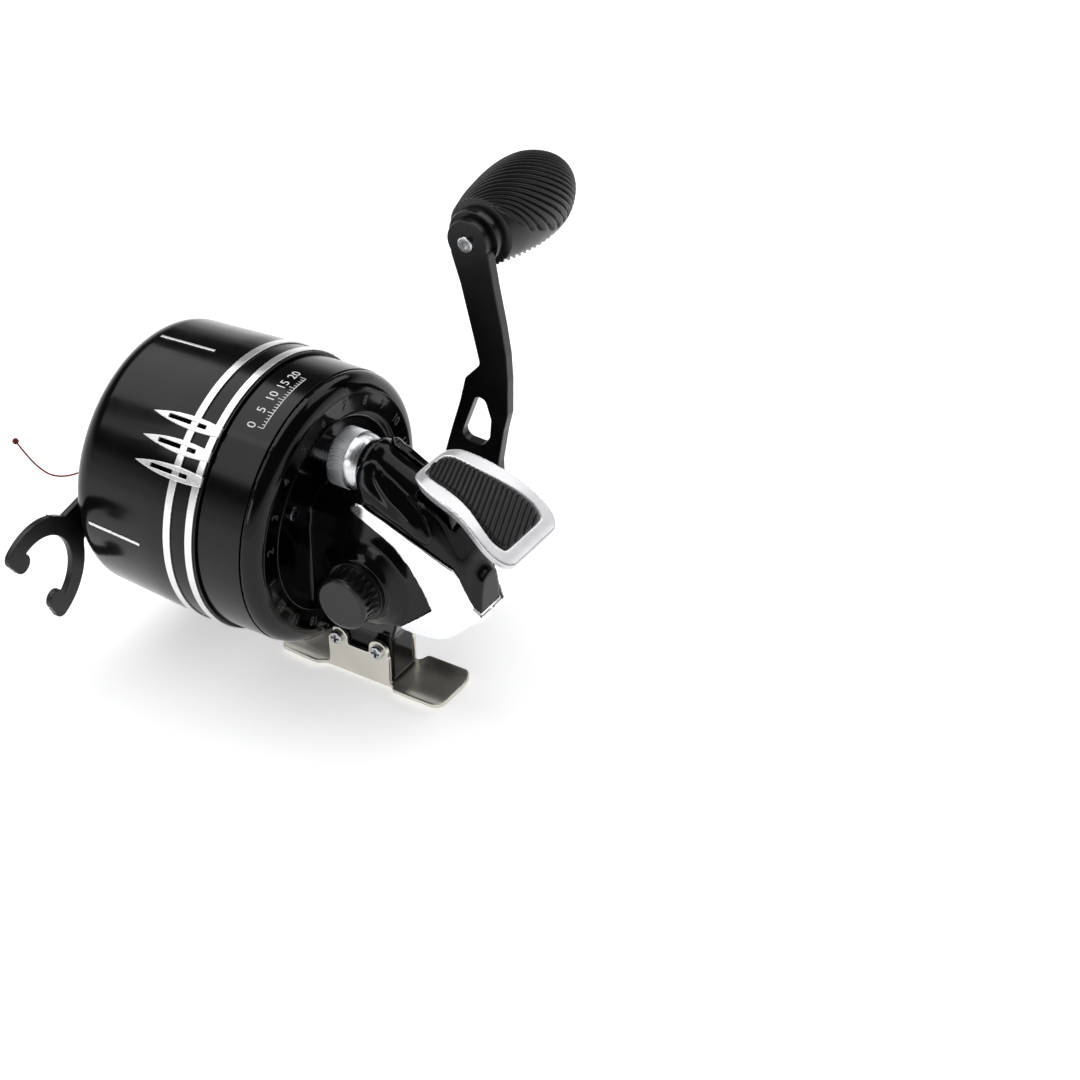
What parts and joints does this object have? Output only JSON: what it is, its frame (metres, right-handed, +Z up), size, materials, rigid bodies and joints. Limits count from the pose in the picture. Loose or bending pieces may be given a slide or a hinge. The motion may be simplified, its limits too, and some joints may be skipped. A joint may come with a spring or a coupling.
{
  "type": "bowfishing reel",
  "caption": "Closed-face bowfishing reel with a drum cover, side crank and knob, thumb lever, drag wheel, front line claw and a rod foot.",
  "frame": {"origin": "middle of the foot's flat sole, where the reel sits on its seat", "axes": "+Y forward along the drum's axis to the line's exit, +X towards the crank, +Z up from the foot to the drum"},
  "size_m": [0.1472, 0.1592, 0.1246],
  "materials": {
    "black_cover": "gloss",
    "satin_black": "satin",
    "chrome_trim": "polished",
    "white_chrome": "polished",
    "polished_arm": "polished",
    "black_arm": "satin black paint",
    "cast_deck": "satin",
    "steel_part": "satin",
    "screw_steel": "bright",
    "gear_brass": "machined",
    "spool_plastic": "moulded",
    "drag_felt": "pressed felt",
    "grip_rubber": "moulded",
    "red_line": "braided"
  },
  "bodies": {
    "frame": {"front_cover": "black_cover", "band_front": "chrome_trim", "band_rear": "chrome_trim", "louvre_bezels_right": "white_chrome", "louvre_bezels_left": "white_chrome", "cover_stripes": "chrome_trim", "line_eyelet": "screw_steel", "nose_nut": "satin_black", "front_fork": "satin_black", "body_collar": "black_cover", "deck_plate": "cast_deck", "deck_screws": "screw_steel", "spool_retainer": "steel_part", "drag_pad": "drag_felt", "pinion_bush_front": "gear_brass", "pinion_bush_rear": "gear_brass", "shaft_spring": "steel_part", "crank_bush_left": "gear_brass", "crank_bush_right": "gear_brass", "pawl_stud": "steel_part", "rear_cover": "black_cover", "cover_screws": "screw_steel", "trim_left": "chrome_trim", "trim_right": "chrome_trim", "side_cap": "satin_black", "lever_pin": "steel_part", "foot_bracket": "steel_part", "foot_screws": "screw_steel", "line_end": "red_line", "line_knot": "red_line"},
    "crank": {"crankshaft": "steel_part", "drive_gear": "gear_brass", "ratchet_wheel": "steel_part", "crank_clip": "steel_part", "shaft_sleeve": "black_arm", "crank_arm": "black_arm", "crank_nut": "screw_steel", "knob_screw": "screw_steel", "knob_collar": "satin_black"},
    "knob": {"knob_core": "satin_black", "knob_grip": "grip_rubber"},
    "pinion": {"pinion_gear": "gear_brass"},
    "shaft": {"centre_shaft": "steel_part", "shaft_button": "steel_part", "spinner_head": "polished_arm", "spinner_nut": "gear_brass"},
    "pin": {"pickup_pin": "steel_part"},
    "spool": {"spool": "spool_plastic", "spool_line": "red_line"},
    "drag": {"drag_wheel": "polished_arm", "drag_screw": "steel_part"},
    "lever": {"thumb_pedal": "chrome_trim", "pedal_pad": "grip_rubber", "lever_arm": "satin_black"},
    "pawl": {"pawl": "steel_part"}
  },
  "joints": [
    {"name": "crank_spin", "type": "hinge", "parent": "frame", "child": "crank", "pos_m": [0, -0.0064, 0.0366], "axis": [1, 0, 0], "continuous": true},
    {"name": "knob_spin", "type": "hinge", "parent": "crank", "child": "knob", "pos_m": [0.062, -0.0064, 0.1125], "axis": [1, 0, 0], "continuous": true},
    {"name": "pinion_spin", "type": "hinge", "parent": "frame", "child": "pinion", "pos_m": [0, 0.029, 0.0473], "axis": [0, 1, 0], "continuous": true},
    {"name": "shaft_slide", "type": "slide", "parent": "pinion", "child": "shaft", "axis": [0, 1, 0], "range_m": [0, 0.0033], "deforming": ["shaft_spring"]},
    {"name": "pin_retract", "type": "slide", "parent": "shaft", "child": "pin", "axis": [0, 0, -1], "range_m": [0, 0.0024]},
    {"name": "spool_spin", "type": "hinge", "parent": "frame", "child": "spool", "pos_m": [0, 0.029, 0.0473], "axis": [0, 1, 0], "continuous": true},
    {"name": "drag_turn", "type": "hinge", "parent": "frame", "child": "drag", "pos_m": [0, 0.002, 0.0657], "axis": [0, 1, 0], "range_deg": [-150, 150]},
    {"name": "lever_press", "type": "hinge", "parent": "frame", "child": "lever", "pos_m": [0, -0.0256, 0.0583], "axis": [1, 0, 0], "range_deg": [0, 14], "stiffness_Nm_per_rad": 0.4, "springref_deg": -2.86},
    {"name": "pawl_tilt", "type": "hinge", "parent": "frame", "child": "pawl", "pos_m": [0.0066, 0.0044, 0.0411], "axis": [1, 0, 0], "range_deg": [-8, 0]}
  ],
  "couplings": [
    {"joint": "pinion_spin", "follows": "crank_spin", "ratio": 3},
    {"joint": "shaft_slide", "follows": "lever_press", "m_per_rad": 0.013505},
    {"joint": "pin_retract", "follows": "lever_press", "m_per_rad": 0.009822}
  ]
}
